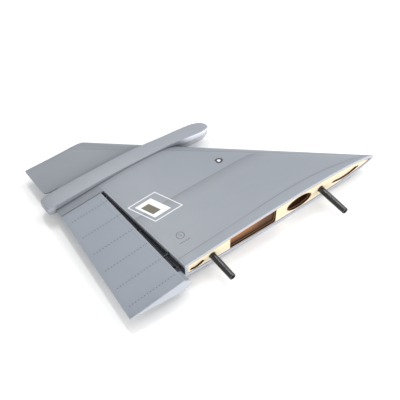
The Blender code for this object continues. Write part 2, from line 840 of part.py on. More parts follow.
def hinges():
    for index, y in enumerate(LUG_YS):
        x = axis_x(y)
        wall = hinge_x(y) - GAP - 0.25
        loop = [(wall, -LUG_R), (wall, LUG_R)]
        for i in range(9):
            a = math.pi / 2 + math.pi * i / 8
            loop.append((x + LUG_R * math.cos(a), LUG_R * math.sin(a)))
        plate("hinge_lug_%d" % (index + 1), "servo_plastic",
              [loop, ring((x, 0.0), PIN_HOLE, 12)], y - 1.5, y + 1.5)
        rod("hinge_pin_%d" % (index + 1), "steel", (axis_x(y - 9.5), y - 9.5, 0.0),
            (axis_x(y + 9.5), y + 9.5, 0.0), PIN_R, count=12, origin=PIVOT)


# --- servo and linkage ------------------------------------------------------------------------

def link_frame():
    """Frame square to the hinge axis: x forward, y along the axis, z up."""
    along = Vector((AXIS_SLOPE, 1.0, 0.0)).normalized()
    ahead = Vector((along.y, -along.x, 0.0))
    up = Vector((0.0, 0.0, 1.0))
    turn = Matrix((ahead, along, up)).transposed().to_4x4()
    return Matrix.Translation(Vector(PIVOT)) @ turn


LINK = link_frame()
SHAFT_AT = tuple(LINK @ Vector((LINK_SPAN, 0.0, 0.0)))
ARM_PIN_AT = tuple(LINK @ Vector((LINK_SPAN, 0.0, LINK_R)))


def arm_loop(x, hub, tip_r, reach):
    """A tapered arm round two centres, one above the other."""
    loop = []
    for i in range(13):
        a = math.pi + math.pi * i / 12
        loop.append((x + hub * math.cos(a), hub * math.sin(a)))
    for i in range(9):
        a = math.pi * i / 8
        loop.append((x + tip_r * math.cos(a), reach + tip_r * math.sin(a)))
    return loop


def linkage():
    # horn in the rudder's nose, its pin, the push rod and the servo arm
    base = [(-3.9, -5.0), (2.0, -5.0), (2.6, 0.0)]
    eye = [(2.7 * math.cos(a), LINK_R + 2.7 * math.sin(a))
           for a in [math.pi * i / 8 for i in range(9)]]
    loop = base + eye + [(-3.9, 6.0)]
    plate("rudder_horn", "arm_plastic", [loop, ring((0.0, LINK_R), PIN_HOLE, 12)],
          -1.0, 1.0, frame=LINK, origin=PIVOT)
    rod("horn_pin", "steel", (0.0, -1.5, LINK_R), (0.0, 4.0, LINK_R), PIN_R, frame=LINK,
        count=12, origin=PIVOT)
    bar = []
    eye_r = 2.8
    half = 1.1
    turn = math.asin(half / eye_r)
    for centre, start in ((0.0, turn), (LINK_SPAN, math.pi + turn)):
        for i in range(13):
            a = start + (2 * math.pi - 2 * turn) * i / 12
            bar.append((centre + eye_r * math.cos(a), LINK_R + eye_r * math.sin(a)))
    holes = [ring((c, LINK_R), PIN_HOLE, 12) for c in (0.0, LINK_SPAN)]
    plate("push_rod", "steel", [bar] + holes, 1.3, 3.3, frame=LINK, origin=ARM_PIN_AT)
    plate("servo_arm", "arm_plastic",
          [arm_loop(LINK_SPAN, 4.0, 2.6, LINK_R), ring((LINK_SPAN, LINK_R), PIN_HOLE, 12)],
          -1.0, 1.0, frame=LINK, origin=SHAFT_AT)
    rod("arm_pin", "steel", (LINK_SPAN, -1.5, LINK_R), (LINK_SPAN, 4.0, LINK_R), PIN_R,
        frame=LINK, count=12, origin=SHAFT_AT)
    rod("servo_shaft", "steel", (LINK_SPAN, -4.2, 0.0), (LINK_SPAN, -1.3, 0.0), 3.0,
        frame=LINK, count=16, origin=SHAFT_AT)


def servo():
    near = LINK_SPAN - 8.0
    far = LINK_SPAN + 22.0
    ears = 6.5
    case = [(near, -33.0), (far, -33.0), (far, -12.0), (far + ears, -12.0), (far + ears, -10.0),
            (far, -10.0), (far, -4.5), (near, -4.5), (near, -10.0), (near - ears, -10.0),
            (near - ears, -12.0), (near, -12.0)]
    sections = [[(x, y, z) for x, y in case] for z in (-6.0, 6.0)]
    verts, faces = loft(sections)
    body = make("servo_case", "servo_plastic", verts, faces, frame=LINK)
    screw_xs = (near - 3.4, far + 3.4)
    tools = [rod("ear_hole_%d" % i, None, (x, -15.0, 0.0), (x, -7.0, 0.0), PIN_HOLE, frame=LINK,
                 count=12, cutter=True) for i, x in enumerate(screw_xs)]
    cut(body, tools)
    lid = [(near, -6.0), (far, -6.0), (far, 6.0), (near, 6.0)]
    plate("servo_lid", "servo_plastic", [lid, ring((LINK_SPAN, 0.0), 3.3, 16)], -4.2, -2.6,
          frame=LINK)
    tray = [(near - 14.0, -19.5), (far + 14.0, -19.5), (far + 14.0, 19.5), (near - 14.0, 19.5)]
    window = [(near - 0.4, -6.4), (far + 0.4, -6.4), (far + 0.4, 6.4), (near - 0.4, 6.4)]
    holes = [ring((x, 0.0), PIN_HOLE, 12) for x in screw_xs]
    plate("servo_tray", "ply", [tray, window] + holes, -9.7, -7.2, frame=LINK)
    for index, x in enumerate(screw_xs):
        profile = [(0.0, 0.0), (1.3, 0.0), (2.2, 0.9), (2.2, 1.7), (1.0, 1.7), (1.0, 6.6),
                   (0.0, 6.6)]
        lathe("servo_screw_%d" % (index + 1), "steel", profile, (x, -14.0, 0.0),
              (0.0, 1.0, 0.0), steps=12, frame=LINK)


def build():
    left = main_skins()
    slot = box_cutter("rod_slot", (8.0, -1.5, 6.8), (40.0, 6.5, 14.8), frame=LINK)
    cut(left, [slot])
    leading_edge()
    root_ribs()
    tubes()
    inner_frame()
    pod()
    tip()
    trailing_band()
    rudder_skins()
    rudder_nose()
    rudder_ribs()
    hinges()
    linkage()
    servo()


build()
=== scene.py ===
"""Finish for a swept tail fin: satin paint, laser-cut ply, carbon tubes and small fittings."""
import math

import bmesh
import bpy
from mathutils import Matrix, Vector


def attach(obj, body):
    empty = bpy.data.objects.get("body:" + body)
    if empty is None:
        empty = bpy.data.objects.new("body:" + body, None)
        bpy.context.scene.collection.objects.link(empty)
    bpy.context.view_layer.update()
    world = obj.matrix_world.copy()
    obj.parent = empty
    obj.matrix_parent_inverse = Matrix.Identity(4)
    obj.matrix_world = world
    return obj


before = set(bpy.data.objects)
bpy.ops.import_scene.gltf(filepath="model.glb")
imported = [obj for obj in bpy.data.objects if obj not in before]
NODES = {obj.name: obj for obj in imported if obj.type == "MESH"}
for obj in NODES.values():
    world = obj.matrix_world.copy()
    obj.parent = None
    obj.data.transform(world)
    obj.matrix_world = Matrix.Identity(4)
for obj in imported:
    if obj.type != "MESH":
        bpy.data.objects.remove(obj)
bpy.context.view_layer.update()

MM = 0.001
# The fin's own layout in millimetres: X forward from the root end of the hinge line, Y root to
# tip, Z up through the left side. ORIGIN is where the scene's origin lies in that layout.
ORIGIN = Vector((194.1, 179.25, -31.05))

# --- camera, metres; BACK points from the fin towards the lens ----------------------------------
CAMERA_AT = (-0.7274, -0.94735, 1.38875)
CAMERA_BACK = (-0.38177, -0.51123, 0.76999)
LENS_MM = 71.6
SENSOR_MM = 36.0

# --- light ------------------------------------------------------------------------------------
SKY_ZENITH = 0.52
SKY_HORIZON = 1.36
FLOOR_SIZE = 7.0
FLOOR_DROP = 0.0004
# name, position, target, width, height, watts
LAMPS = (
    ("front_low", (0.2, -3.2, 0.40), (0.0, 0.0, 0.0), 3.4, 0.6, 118.0),
    ("left_low", (-3.2, -0.9, 0.55), (0.0, 0.0, 0.0), 2.4, 0.7, 18.0),
    ("right_high", (1.1, 0.1, 1.3), (0.1, 0.0, 0.0), 1.1, 1.1, 12.0),
    ("strip", (0.40, 1.30, 2.55), (0.05, -0.2, 0.0), 0.24, 1.1, 26.0),
)

# --- colours, linear --------------------------------------------------------------------------
SKIN = (0.215, 0.236, 0.265)
SKIN_DARK = (0.060, 0.066, 0.080)
SKIN_EDGE = (0.36, 0.375, 0.41)
# pale root rim: partly paler paint, partly painted light
RIM_PALE_AND_LIT = (0.30, 0.315, 0.37)
RUDDER = (0.206, 0.231, 0.268)
# rudder end cap: painted light
RUDDER_END_LIT = (0.275, 0.290, 0.325)
POD = (0.226, 0.240, 0.270)
# pale pod nose: painted light from below
POD_NOSE_LIT = (0.66, 0.67, 0.74)
RIVET_GREY = (0.075, 0.083, 0.10)
# charcoal: the spot's printed outline, and painted shade in the hinge gap
CHARCOAL_PRINT_AND_SHADE = (0.020, 0.020, 0.032)
SCUFF = (0.06, 0.06, 0.075)
WHITE = (0.68, 0.68, 0.69)
OLIVE = (0.092, 0.082, 0.046)
INK = (0.035, 0.037, 0.045)
PLY = (0.52, 0.465, 0.335)
PLY_GRAIN = (0.43, 0.32, 0.185)
PENCIL = (0.62, 0.30, 0.20)
DOUBLER = (0.60, 0.50, 0.37)
INNER_PLY = (0.58, 0.44, 0.27)
INNER_GRAIN = (0.42, 0.28, 0.14)
FOAM_TAN = (0.24, 0.115, 0.062)
CHAR = (0.125, 0.042, 0.012)
CHAR_DARK = (0.030, 0.012, 0.006)
# bay ply: its brown is darker than the rib's partly as painted shade deep in the bay
BAY = (0.235, 0.098, 0.033)
BAY_GRAIN = (0.20, 0.085, 0.032)
BAY_DARK = (0.045, 0.020, 0.011)
CARBON = (0.009, 0.0085, 0.009)
CARBON_LIGHT = (0.022, 0.020, 0.020)
CARBON_END = (0.020, 0.019, 0.020)
STEEL = (0.46, 0.46, 0.48)
BLACK_PLASTIC = (0.020, 0.020, 0.023)
DARK_NYLON = (0.035, 0.035, 0.038)
# push rod black: painted shade
ROD_SHADE_BLACK = (0.018, 0.018, 0.022)
FLOOR_WHITE = (0.93, 0.93, 0.93)

# --- outline of the fin and rudder, millimetres; slopes are X per Y ----------------------------
SPAN = 445.0
ROOT_CHORD = 540.0
LEAD_SLOPE = -1.1764
# turns a distance along X into one square to the leading edge
LEAD_SQUARE = 0.65
HINGE_SLOPE = -0.075
TAIL_X0 = -151.8
TAIL_SLOPE = 0.0749
TAIL_X_TIP = -130.0
# half thickness: the thickest place of the root, its loss by the tip, and its share at the hinge
MAX_HALF = 31.0
THIN_RATE = 0.78
HINGE_SHARE = 0.645
HINGE_HALF = MAX_HALF * HINGE_SHARE
TAIL_HALF = 0.5
# the rudder's seam behind its nose, and the front edge of its skins
NOSE_SEAM_X = -26.0
NOSE_SEAM_SLOPE = -0.058
RUDDER_FRONT_X = -20.0
RUDDER_FRONT_SLOPE = -0.033

# --- fittings, millimetres ----------------------------------------------------------------------
REAR_TUBE_X = 71.0
FRONT_TUBE_X = 376.0
TUBE_R = 7.5
DOWEL_XS = (105.0, -5.0)
DOWEL_R = 3.0
OVAL_AT = (313.0, -0.5)
OVAL_SEMI = (35.0, 17.8)
BAY_MID_X = 182.5
# sooty reach of the bay and of the oval along the doubler, each side of the middle
BAY_SOOT = 66.0
OVAL_SOOT = 37.5

# --- lines on the paint, millimetres: Y at a few places along X ----------------------------------
ROOT_LINE = ((0.0, 20.2), (77, 20.1), (139, 20.4), (203, 22.0), (270, 23.6), (328, 23.5),
             (386, 21.0), (441, 15.0), (494, 8.0), (540, 1.0))
MID_LINE = ((-10, 164.5), (60, 162.6), (109, 162.0), (159, 161.4), (198, 161.2), (232, 161.8),
            (258, 162.8), (284, 163.2), (313, 162.4), (345, 160.5))
POD_EDGE = ((-150, 303.0), (-135, 299.8), (-85, 299.6), (50, 299.3), (100, 298.4), (155, 297.9),
            (180, 297.6), (205, 294.6), (230, 291.2), (262, 289.3))
POD_FAR_EDGE = ((-150, 336.0), (-115, 340.7), (-50, 339.4), (50, 338.5), (100, 337.4),
                (130, 335.6))
# the leading edge band widens from root to tip seam
BAND_ROOT = 19.0
BAND_GROWTH = 17.0
BAND_END_Y = 288.0
MID_LINE_START = 34.0
TIP_BAND = 43.0
TIP_WORN_Y = 441.0

# --- marks on the paint, millimetres --------------------------------------------------------------
# slanted block: its middle, and the half widths of its outline, band and core; BACK shifts the
# band and then the core towards the trailing edge
MARK_AT = (42.0, 165.5)
MARK_LEAN = 0.38
MARK_OUTLINE = (36.0, 35.0)
MARK_BAND = (21.0, 25.0)
MARK_BAND_BACK = 6.0
MARK_CORE = (10.0, 15.0)
MARK_CORE_BACK = 5.0
# ring, and the row of bars between it and the root
RING_AT = (38.8, 67.5)
RING_R = 8.6
BARS_BELOW = 18.3
BARS_HALF = (13.0, 0.7)
BAR_PITCH = 5.2
# spot with an outline, longer along X
SPOT_AT = (234.2, 188.9)
SPOT_R = 7.4
SPOT_STRETCH = 0.62
SPOT_FLAT = 6.5
# pencil ticks on the root rib, one above another: X and Z of their middle
TICKS_AT = (262.0, -1.0)
TICK_HALF = (4.5, 0.35)
TICK_PITCH = 4.2
TICKS_REACH = 7.5

# --- rivets, millimetres --------------------------------------------------------------------------
# each row starts RIVET_TAIL ahead of the trailing edge and ends at X = RIVET_FRONT
RIVET_PITCH = 7.3
RIVET_ROW0 = -4.5
RIVET_ROW_STEP = 50.3
RIVET_ROWS = 6
RIVET_TAIL = 14.0
RIVET_FRONT = -27.0
RIVET_R = 0.62
RIVET_RISE = 0.22
RIVET_SINK = 0.03
RIVET_SIDES = 10
# share of the radius and of the rise, from the foot to the crown
RIVET_RINGS = ((1.0, 0.0), (0.94, 0.5), (0.66, 0.88), (0.3, 0.99))

# --- shading: edges flatter than this many degrees look smooth, corners this near are one ---------
SMOOTH_BELOW = 35.0
WELD_MM = 0.004


# --- a number in a node tree --------------------------------------------------------------------

class Num:
    """A value in a material; arithmetic on it adds the nodes."""

    def __init__(self, tree, socket):
        self.tree = tree
        self.socket = socket

    def _join(self, operation, *values):
        node = self.tree.nodes.new("ShaderNodeMath")
        node.operation = operation
        for socket, value in zip(node.inputs, values):
            plug(self.tree, socket, value)
        return Num(self.tree, node.outputs[0])

    def _math(self, operation, *others):
        return self._join(operation, self, *others)

    def __add__(self, other):
        return self._math("ADD", other)

    def __radd__(self, other):
        return self._math("ADD", other)

    def __sub__(self, other):
        return self._math("SUBTRACT", other)

    def __rsub__(self, other):
        return self._join("SUBTRACT", other, self)

    def __mul__(self, other):
        return self._math("MULTIPLY", other)

    def __rmul__(self, other):
        return self._math("MULTIPLY", other)

    def __truediv__(self, other):
        return self._math("DIVIDE", other)

    def __neg__(self):
        return self._math("MULTIPLY", -1.0)

    def __abs__(self):
        return self._math("ABSOLUTE")

    def high(self, other):
        return self._math("MAXIMUM", other)

    def wrap(self, length):
        """Distance to the nearest multiple of length."""
        return self._math("PINGPONG", length / 2.0)

    def sine(self):
        return self._math("SINE")

    def root(self):
        return self._math("SQRT")

    def angle(self, other):
        return self._math("ARCTAN2", other)

    def ramp(self, start, end, smooth=True):
        """0 at start, 1 at end; start may be the larger."""
        node = self.tree.nodes.new("ShaderNodeMapRange")
        node.interpolation_type = "SMOOTHSTEP" if smooth else "LINEAR"
        plug(self.tree, node.inputs["Value"], self)
        flip = start > end
        node.inputs["From Min"].default_value = min(start, end)
        node.inputs["From Max"].default_value = max(start, end)
        node.inputs["To Min"].default_value = 1.0 if flip else 0.0
        node.inputs["To Max"].default_value = 0.0 if flip else 1.0
        return Num(self.tree, node.outputs["Result"])

    def line(self, width, soft=0.35):
        """1 within half a width of zero, fading over soft."""
        return abs(self).ramp(width / 2.0 + soft, width / 2.0)

    def curve(self, points):
        """Follow a line given as (x, y) points."""
        x0, x1 = points[0][0], points[-1][0]
        y0 = min(y for _, y in points)
        y1 = max(y for _, y in points)
        node = self.tree.nodes.new("ShaderNodeFloatCurve")
        plug(self.tree, node.inputs["Value"], (self - x0) / (x1 - x0))
        shape = node.mapping.curves[0]
        placed = [((x - x0) / (x1 - x0), (y - y0) / (y1 - y0)) for x, y in points]
        shape.points[0].location = placed[0]
        shape.points[1].location = placed[-1]
        for place in placed[1:-1]:
            shape.points.new(*place)
        node.mapping.update()
        return Num(self.tree, node.outputs[0]) * (y1 - y0) + y0


def plug(tree, socket, value):
    """Link or set a socket, whichever the value asks for."""
    if isinstance(value, Num):
        tree.links.new(value.socket, socket)
    elif isinstance(value, bpy.types.NodeSocket):
        tree.links.new(value, socket)
    elif isinstance(value, (tuple, list)):
        socket.default_value = tuple(value) + (1.0,)
    else:
        socket.default_value = value


class Finish:
    """A material built from the fin's own millimetres."""

    def __init__(self, name, colour, rough=0.5):
        self.material = bpy.data.materials.new(name)
        self.material.use_nodes = True
        self.tree = self.material.node_tree
        self.shader = self.tree.nodes["Principled BSDF"]
        place = self.tree.nodes.new("ShaderNodeTexCoord")
        split = self.tree.nodes.new("ShaderNodeSeparateXYZ")
        self.tree.links.new(place.outputs["Object"], split.inputs[0])
        self.x, self.y, self.z = (
            Num(self.tree, split.outputs[i]) * (1.0 / MM) + ORIGIN[i] for i in range(3)
        )
        face = self.tree.nodes.new("ShaderNodeSeparateXYZ")
        self.tree.links.new(place.outputs["Normal"], face.inputs[0])
        self.nx, self.ny, self.nz = (Num(self.tree, face.outputs[i]) for i in range(3))
        self.colour = colour
        self.rough = rough
        self.height = None

    def vector(self, sx, sy, sz):
        join = self.tree.nodes.new("ShaderNodeCombineXYZ")
        for socket, value in zip(join.inputs, (sx, sy, sz)):
            plug(self.tree, socket, value)
        return join.outputs[0]

    def noise(self, size, stretch=(1.0, 1.0, 1.0), detail=3.0, shift=0.0):
        """Noise about 0..1 whose features are size millimetres, longer along stretch."""
        node = self.tree.nodes.new("ShaderNodeTexNoise")
        where = self.vector(self.x / stretch[0] + shift, self.y / stretch[1], self.z / stretch[2])
        self.tree.links.new(where, node.inputs["Vector"])
        node.inputs["Scale"].default_value = 1.0 / size
        node.inputs["Detail"].default_value = detail
        node.inputs["Roughness"].default_value = 0.55
        return Num(self.tree, node.outputs["Fac"])

    def tint(self, colour, amount):
        """Lay a colour over what is there."""
        node = self.tree.nodes.new("ShaderNodeMix")
        node.data_type = "RGBA"
        plug(self.tree, node.inputs[0], amount)
        plug(self.tree, node.inputs[6], self.colour)
        plug(self.tree, node.inputs[7], colour)
        self.colour = node.outputs[2]

    def shade(self, factor):
        """Multiply the colour by a number."""
        node = self.tree.nodes.new("ShaderNodeVectorMath")
        node.operation = "SCALE"
        if isinstance(self.colour, tuple):
            node.inputs[0].default_value = self.colour
        else:
            self.tree.links.new(self.colour, node.inputs[0])
        plug(self.tree, node.inputs["Scale"], factor)
        self.colour = node.outputs[0]

    def raise_by(self, height):
        """Add to the surface height, millimetres."""
        self.height = height if self.height is None else self.height + height

    def done(self, metal=0.0, coat=0.0, specular=0.5):
        plug(self.tree, self.shader.inputs["Base Color"], self.colour)
        plug(self.tree, self.shader.inputs["Roughness"], self.rough)
        self.shader.inputs["Metallic"].default_value = metal
        self.shader.inputs["Coat Weight"].default_value = coat
        self.shader.inputs["Coat Roughness"].default_value = 0.3
        self.shader.inputs["Specular IOR Level"].default_value = specular
        if self.height is not None:
            bump = self.tree.nodes.new("ShaderNodeBump")
            bump.inputs["Distance"].default_value = MM
            bump.inputs["Strength"].default_value = 1.0
            plug(self.tree, bump.inputs["Height"], self.height)
            self.tree.links.new(bump.outputs[0], self.shader.inputs["Normal"])
        return self.material


# --- paint ------------------------------------------------------------------------------------

def satin(finish, peel=0.010):
    """Sprayed satin paint: clouding, fine speckle and a slight orange peel."""
    cloud = finish.noise(85.0, (1.8, 1.0, 1.0), 2.0)
    streak = finish.noise(14.0, (6.0, 1.0, 1.0), 3.0, shift=31.0)
    speck = finish.noise(0.9, detail=1.0, shift=7.0)
    finish.shade(0.93 + cloud * 0.09 + streak * 0.035 + speck * 0.03)
    finish.rough = 0.40 + finish.noise(22.0, detail=4.0, shift=3.0) * 0.16
    finish.raise_by(finish.noise(1.6, detail=2.0) * peel)


def groove(finish, distance, strength, width, depth, soft=0.5):
    """An engraved and inked panel line."""
    mask = distance.line(width, soft)
    finish.tint(SKIN_DARK, mask * strength)
    finish.raise_by(mask * -depth)


def rubbed(finish, start, end, size=2.4):
    """Patches where the paint is worn thin."""
    return finish.noise(size, detail=4.0).ramp(start, end)


def lead_offset(finish):
    """Distance behind the leading edge, along X."""
    return finish.y * LEAD_SLOPE + ROOT_CHORD - finish.x


def outside(u, v, half):
    """How far a place lies outside an upright block, negative inside."""
    return (abs(u) - half[0]).high(abs(v) - half[1])


def mark(finish):
    """A plain slanted block: thin white outline, white band, olive core."""
    v = finish.y - MARK_AT[1]
    u = finish.x - MARK_AT[0] + v * MARK_LEAN
    outline = outside(u, v, MARK_OUTLINE)
    finish.tint(WHITE, outline.ramp(0.3, 0.0) * outline.ramp(-2.2, -1.7))
    u = u + MARK_BAND_BACK
    finish.tint(WHITE, outside(u, v, MARK_BAND).ramp(0.3, 0.0))
    finish.tint(OLIVE, outside(u + MARK_CORE_BACK, v, MARK_CORE).ramp(0.3, 0.0))


def ring_and_bars(finish):
    """A stencilled ring with a slanted tick, and a row of short bars towards the root."""
    u = finish.x - RING_AT[0]
    v = finish.y - RING_AT[1]
    far = (u * u + v * v).root()
    worn = finish.noise(3.0, detail=2.0).ramp(0.35, 0.5) * 0.35 + 0.55
    finish.tint(INK, (far - RING_R).line(1.2, 0.4) * worn)
    finish.tint(INK, far.ramp(5.0, 4.4) * (u + v * 0.5).line(1.4, 0.5) * worn)
    bars = outside(u + 0.5, v + BARS_BELOW + u * 0.04, BARS_HALF)
    finish.tint(INK, bars.ramp(0.5, 0.0) * (u.wrap(BAR_PITCH) - 1.0).ramp(-0.6, 0.0) * worn)


def outlined_spot(finish):
    """A white spot with a charcoal outline, cut straight at the back."""
    u = finish.x - SPOT_AT[0]
    v = finish.y - SPOT_AT[1]
    spot = ((u * u * SPOT_STRETCH + v * v).root() - SPOT_R).high(-u - SPOT_FLAT)
    finish.tint(CHARCOAL_PRINT_AND_SHADE, spot.ramp(1.1, 0.7))
    finish.tint(WHITE, spot.ramp(-3.3, -3.8))


def fin_paint():
    finish = Finish("fin_satin", SKIN)
    satin(finish)
    behind = lead_offset(finish)
    # sprayed shadow on the root side of the middle line, fading towards the root
    mid = finish.x.curve(MID_LINE) - finish.y
    inside = behind.ramp(28.0, 36.0)
    fade = mid.ramp(34.0, 0.0, smooth=False)
    finish.tint(SKIN_DARK, fade * fade * mid.ramp(-0.4, 0.4) * inside * 0.30)
    groove(finish, mid, (behind - MID_LINE_START).ramp(0.0, 6.0) * 0.42, 0.7, 0.10)
    # a line along the root, unevenly inked, with a soft stain on both sides
    root = finish.x.curve(ROOT_LINE) - finish.y
    ink = finish.noise(40.0, (3.0, 1.0, 1.0)).ramp(0.25, 0.7) * 0.34 + 0.34
    groove(finish, root, ink, 0.9, 0.08)
    finish.tint(SKIN_DARK, root.ramp(14.0, 0.0) * root.ramp(-0.4, 0.4) * 0.05)
    above = (-root).ramp(9.0, 0.0) * (-root).ramp(-0.4, 0.4)
    finish.tint(SKIN_DARK, above * finish.x.ramp(150.0, 330.0) * 0.14)
    # leading edge band; ahead of its line the nose is darkened as painted shade, where it curves
    # away from the light
    band = behind - (finish.y.ramp(0.0, BAND_END_Y, smooth=False) * BAND_GROWTH + BAND_ROOT)
    groove(finish, band * LEAD_SQUARE, 0.46, 0.8, 0.08)
    finish.tint(SKIN_DARK, band.ramp(1.0, -1.0) * 0.16)
    # painted shade against the pod, darkest in the crease where they meet, and a fine line along it
    near = finish.x.curve(POD_EDGE) - finish.y
    finish.tint(SKIN_DARK, near.ramp(2.2, 0.6) * 0.60)
    finish.tint(SKIN_DARK, near.ramp(13.0, 1.0) * finish.x.ramp(190.0, 80.0) * 0.26)
    finish.tint(SKIN_DARK, near.ramp(34.0, 0.0) * 0.12)
    groove(finish, near - 9.0, finish.x.ramp(150.0, 90.0) * 0.22, 0.6, 0.05)
    # a faint line along the hinge side
    hinge = finish.x - finish.y * HINGE_SLOPE
    groove(finish, hinge - 5.0, 0.16, 0.6, 0.05)
    mark(finish)
    ring_and_bars(finish)
    outlined_spot(finish)
    # rubbed edges; the rim at the root is pale, partly a paler paint and partly painted light where
    # it faces the light from the front
    rub = rubbed(finish, 0.52, 0.66)
    finish.tint(SKIN_EDGE, behind.ramp(4.0, 1.0) * rub * 0.25)
    finish.tint(SKIN_EDGE, hinge.ramp(1.2, 0.2) * (rub * 0.4 + 0.2))
    face = (-finish.ny).ramp(0.35, 0.8) * finish.y.ramp(0.0, -1.5)
    finish.tint(RIM_PALE_AND_LIT, face * (0.85 - rub * 0.2))
    # behind the lip of the hinge side the wall is painted shade, a little darker just under the lip
    # and near black deeper down, and the inside is bare tan foam
    under = HINGE_HALF - finish.y * (HINGE_HALF * THIN_RATE / SPAN) - abs(finish.z)
    wall = (-finish.nx).ramp(0.6, 0.8) * hinge.ramp(1.5, 0.8)
    finish.tint(CHARCOAL_PRINT_AND_SHADE, wall * (under.ramp(0.3, 1.5) * 0.12 + under.ramp(9.0, 11.0) * 0.88))
    finish.tint(FOAM_TAN, (finish.nz * finish.z).ramp(-0.3, -0.8) * hinge.ramp(0.5, 1.5))
    return finish.done(coat=0.08)


def tip_paint():
    finish = Finish("tip_satin", SKIN)
    satin(finish)
    finish.tint(SKIN_DARK, 0.15)
    band = lead_offset(finish) - TIP_BAND
    groove(finish, band * LEAD_SQUARE, 0.40, 0.7, 0.10)
    # ahead of the band's line the nose is darkened as painted shade, where it curves away from the
    # light
    finish.tint(SKIN_DARK, band.ramp(1.0, -1.0) * 0.08)
    # painted shade beside the pod
    past = finish.y - finish.x.curve(POD_FAR_EDGE)
    finish.tint(SKIN_DARK, past.ramp(46.0, 8.0) * 0.16)
    finish.tint(SKIN_DARK, past.ramp(20.0, 5.0) * 0.30)
    # rubbed tip and trailing edge
    rub = rubbed(finish, 0.50, 0.64)
    finish.tint(SKIN_EDGE, finish.y.ramp(TIP_WORN_Y - 2.5, TIP_WORN_Y) * (rub * 0.4 + 0.15))
    tail = finish.x - TAIL_X_TIP
    finish.tint(SKIN_EDGE, tail.ramp(2.2, 0.4) * (rub * 0.4 + 0.2))
    return finish.done(coat=0.08)


def band_paint():
    """The fixed band between the rudder's top and the pod, darkened all over and against the pod as
    painted shade from the pod.
    """
    finish = Finish("band_satin", SKIN)
    satin(finish)
    finish.tint(SKIN_DARK, 0.36)
    near = finish.x.curve(POD_EDGE) - finish.y
    # painted shade against the pod, darkest in the crease where they meet
    finish.tint(SKIN_DARK, near.ramp(9.0, -1.0) * 0.35)
    finish.tint(SKIN_DARK, near.ramp(2.2, 0.6) * 0.60)
    groove(finish, near - 8.6, 0.30, 0.6, 0.06)
    finish.tint(SKIN_DARK, finish.y.ramp(278.0, 276.4) * 0.35)
    return finish.done(coat=0.08)


def rudder_paint():
    finish = Finish("rudder_satin", RUDDER)
    satin(finish)
    tail = finish.x - finish.y * TAIL_SLOPE - TAIL_X0
    # stain round each rivet, and a fine seam under each row
    row = (finish.y - RIVET_ROW0).wrap(RIVET_ROW_STEP)
    along = (tail - RIVET_TAIL).wrap(RIVET_PITCH)
    held = tail.ramp(RIVET_TAIL - 3.0, RIVET_TAIL - 2.4)
    held = held * finish.x.ramp(RIVET_FRONT + 1.6, RIVET_FRONT + 1.0)
    held = held * finish.y.ramp(RIVET_ROW0 - 3.0, RIVET_ROW0 - 2.5)
    spot = (row * row + along * along).root()
    finish.tint(SKIN_DARK, spot.ramp(1.65, 0.65) * held * 0.92)
    finish.tint(SKIN_DARK, row.line(0.5, 0.7) * held * 0.10)
    finish.tint(SKIN_DARK, row.ramp(9.0, 0.0) * held * 0.05)
    # a faint seam behind the nose, and slightly darker towards the trailing edge and both ends
    seam = finish.x - finish.y * NOSE_SEAM_SLOPE - NOSE_SEAM_X
    groove(finish, seam, 0.15, 0.6, 0.05)
    finish.tint(SKIN_DARK, tail.ramp(16.0, 2.0) * 0.07)
    finish.tint(SKIN_DARK, finish.y.ramp(262.0, 274.0) * 0.10)
    finish.tint(SKIN_DARK, finish.y.ramp(6.0, -26.0) * 0.05)
    # a pale strip along the front edge, and a rubbed trailing edge
    front = finish.x - finish.y * RUDDER_FRONT_SLOPE - RUDDER_FRONT_X
    finish.tint(SKIN_EDGE, front.ramp(-2.2, -0.4) * 0.30)
    rub = rubbed(finish, 0.50, 0.64)
    finish.tint(SKIN_EDGE, tail.ramp(2.4, 0.6) * (rub * 0.4 + 0.15))
    return finish.done(coat=0.08)


def end_cap_paint():
    # the end cap is paler than the rudder's skin as painted light where it faces the light from the
    # front; the pale patches are rubbed paint
    finish = Finish("end_cap_satin_lit", RUDDER_END_LIT)
    satin(finish, 0.012)
    rub = finish.noise(3.0, (4.0, 1.0, 1.0), 4.0).ramp(0.45, 0.7)
    finish.tint(SKIN_EDGE, rub * 0.3)
    return finish.done(coat=0.05)


def nose_paint():
    # the nose is charcoal as painted shade for the deep hinge gap, with scuffs
    finish = Finish("nose_charcoal_shade", CHARCOAL_PRINT_AND_SHADE, 0.6)
    finish.shade(0.8 + finish.noise(9.0, (1.0, 5.0, 1.0), 4.0) * 0.5)
    scuff = finish.noise(3.0, (1.0, 8.0, 1.0), 3.0, shift=5.0).ramp(0.58, 0.75)
    finish.tint(SCUFF, scuff * 0.5)
    # the root end is in the skin's colour
    finish.tint(SKIN, finish.y.ramp(-0.6, -1.2) * 0.97)
    finish.raise_by(finish.noise(1.2, (1.0, 6.0, 1.0)) * 0.03)
    return finish.done(specular=0.35)


def pod_paint():
    finish = Finish("pod_satin", POD)
    satin(finish)
    # seam between the halves
    finish.tint(SKIN_DARK, finish.z.line(0.5, 0.25) * 0.6)
    finish.raise_by(finish.z.line(0.5, 0.3) * -0.15)
    # slightly darker at the tail
    finish.tint(SKIN_DARK, finish.x.ramp(-120.0, -148.0) * 0.05)
    # painted shade on the near side along the fin, and painted light from below making the nose's
    # side and underside paler
    side = (-finish.ny).ramp(0.12, 0.45)
    stretch = finish.x.ramp(-139.0, -126.0) * finish.x.ramp(232.0, 190.0)
    finish.tint(SKIN_DARK, side * stretch * 0.55)
    nose = side.high((-finish.nz).ramp(-0.1, 0.3)) * finish.x.ramp(196.0, 238.0)
    finish.tint(POD_NOSE_LIT, nose * 0.8)
    rub = rubbed(finish, 0.52, 0.66, 2.6)
    finish.tint(SKIN_EDGE, finish.x.ramp(276.0, 288.0) * rub * 0.4)
    return finish.done(coat=0.08)


# --- wood -------------------------------------------------------------------------------------

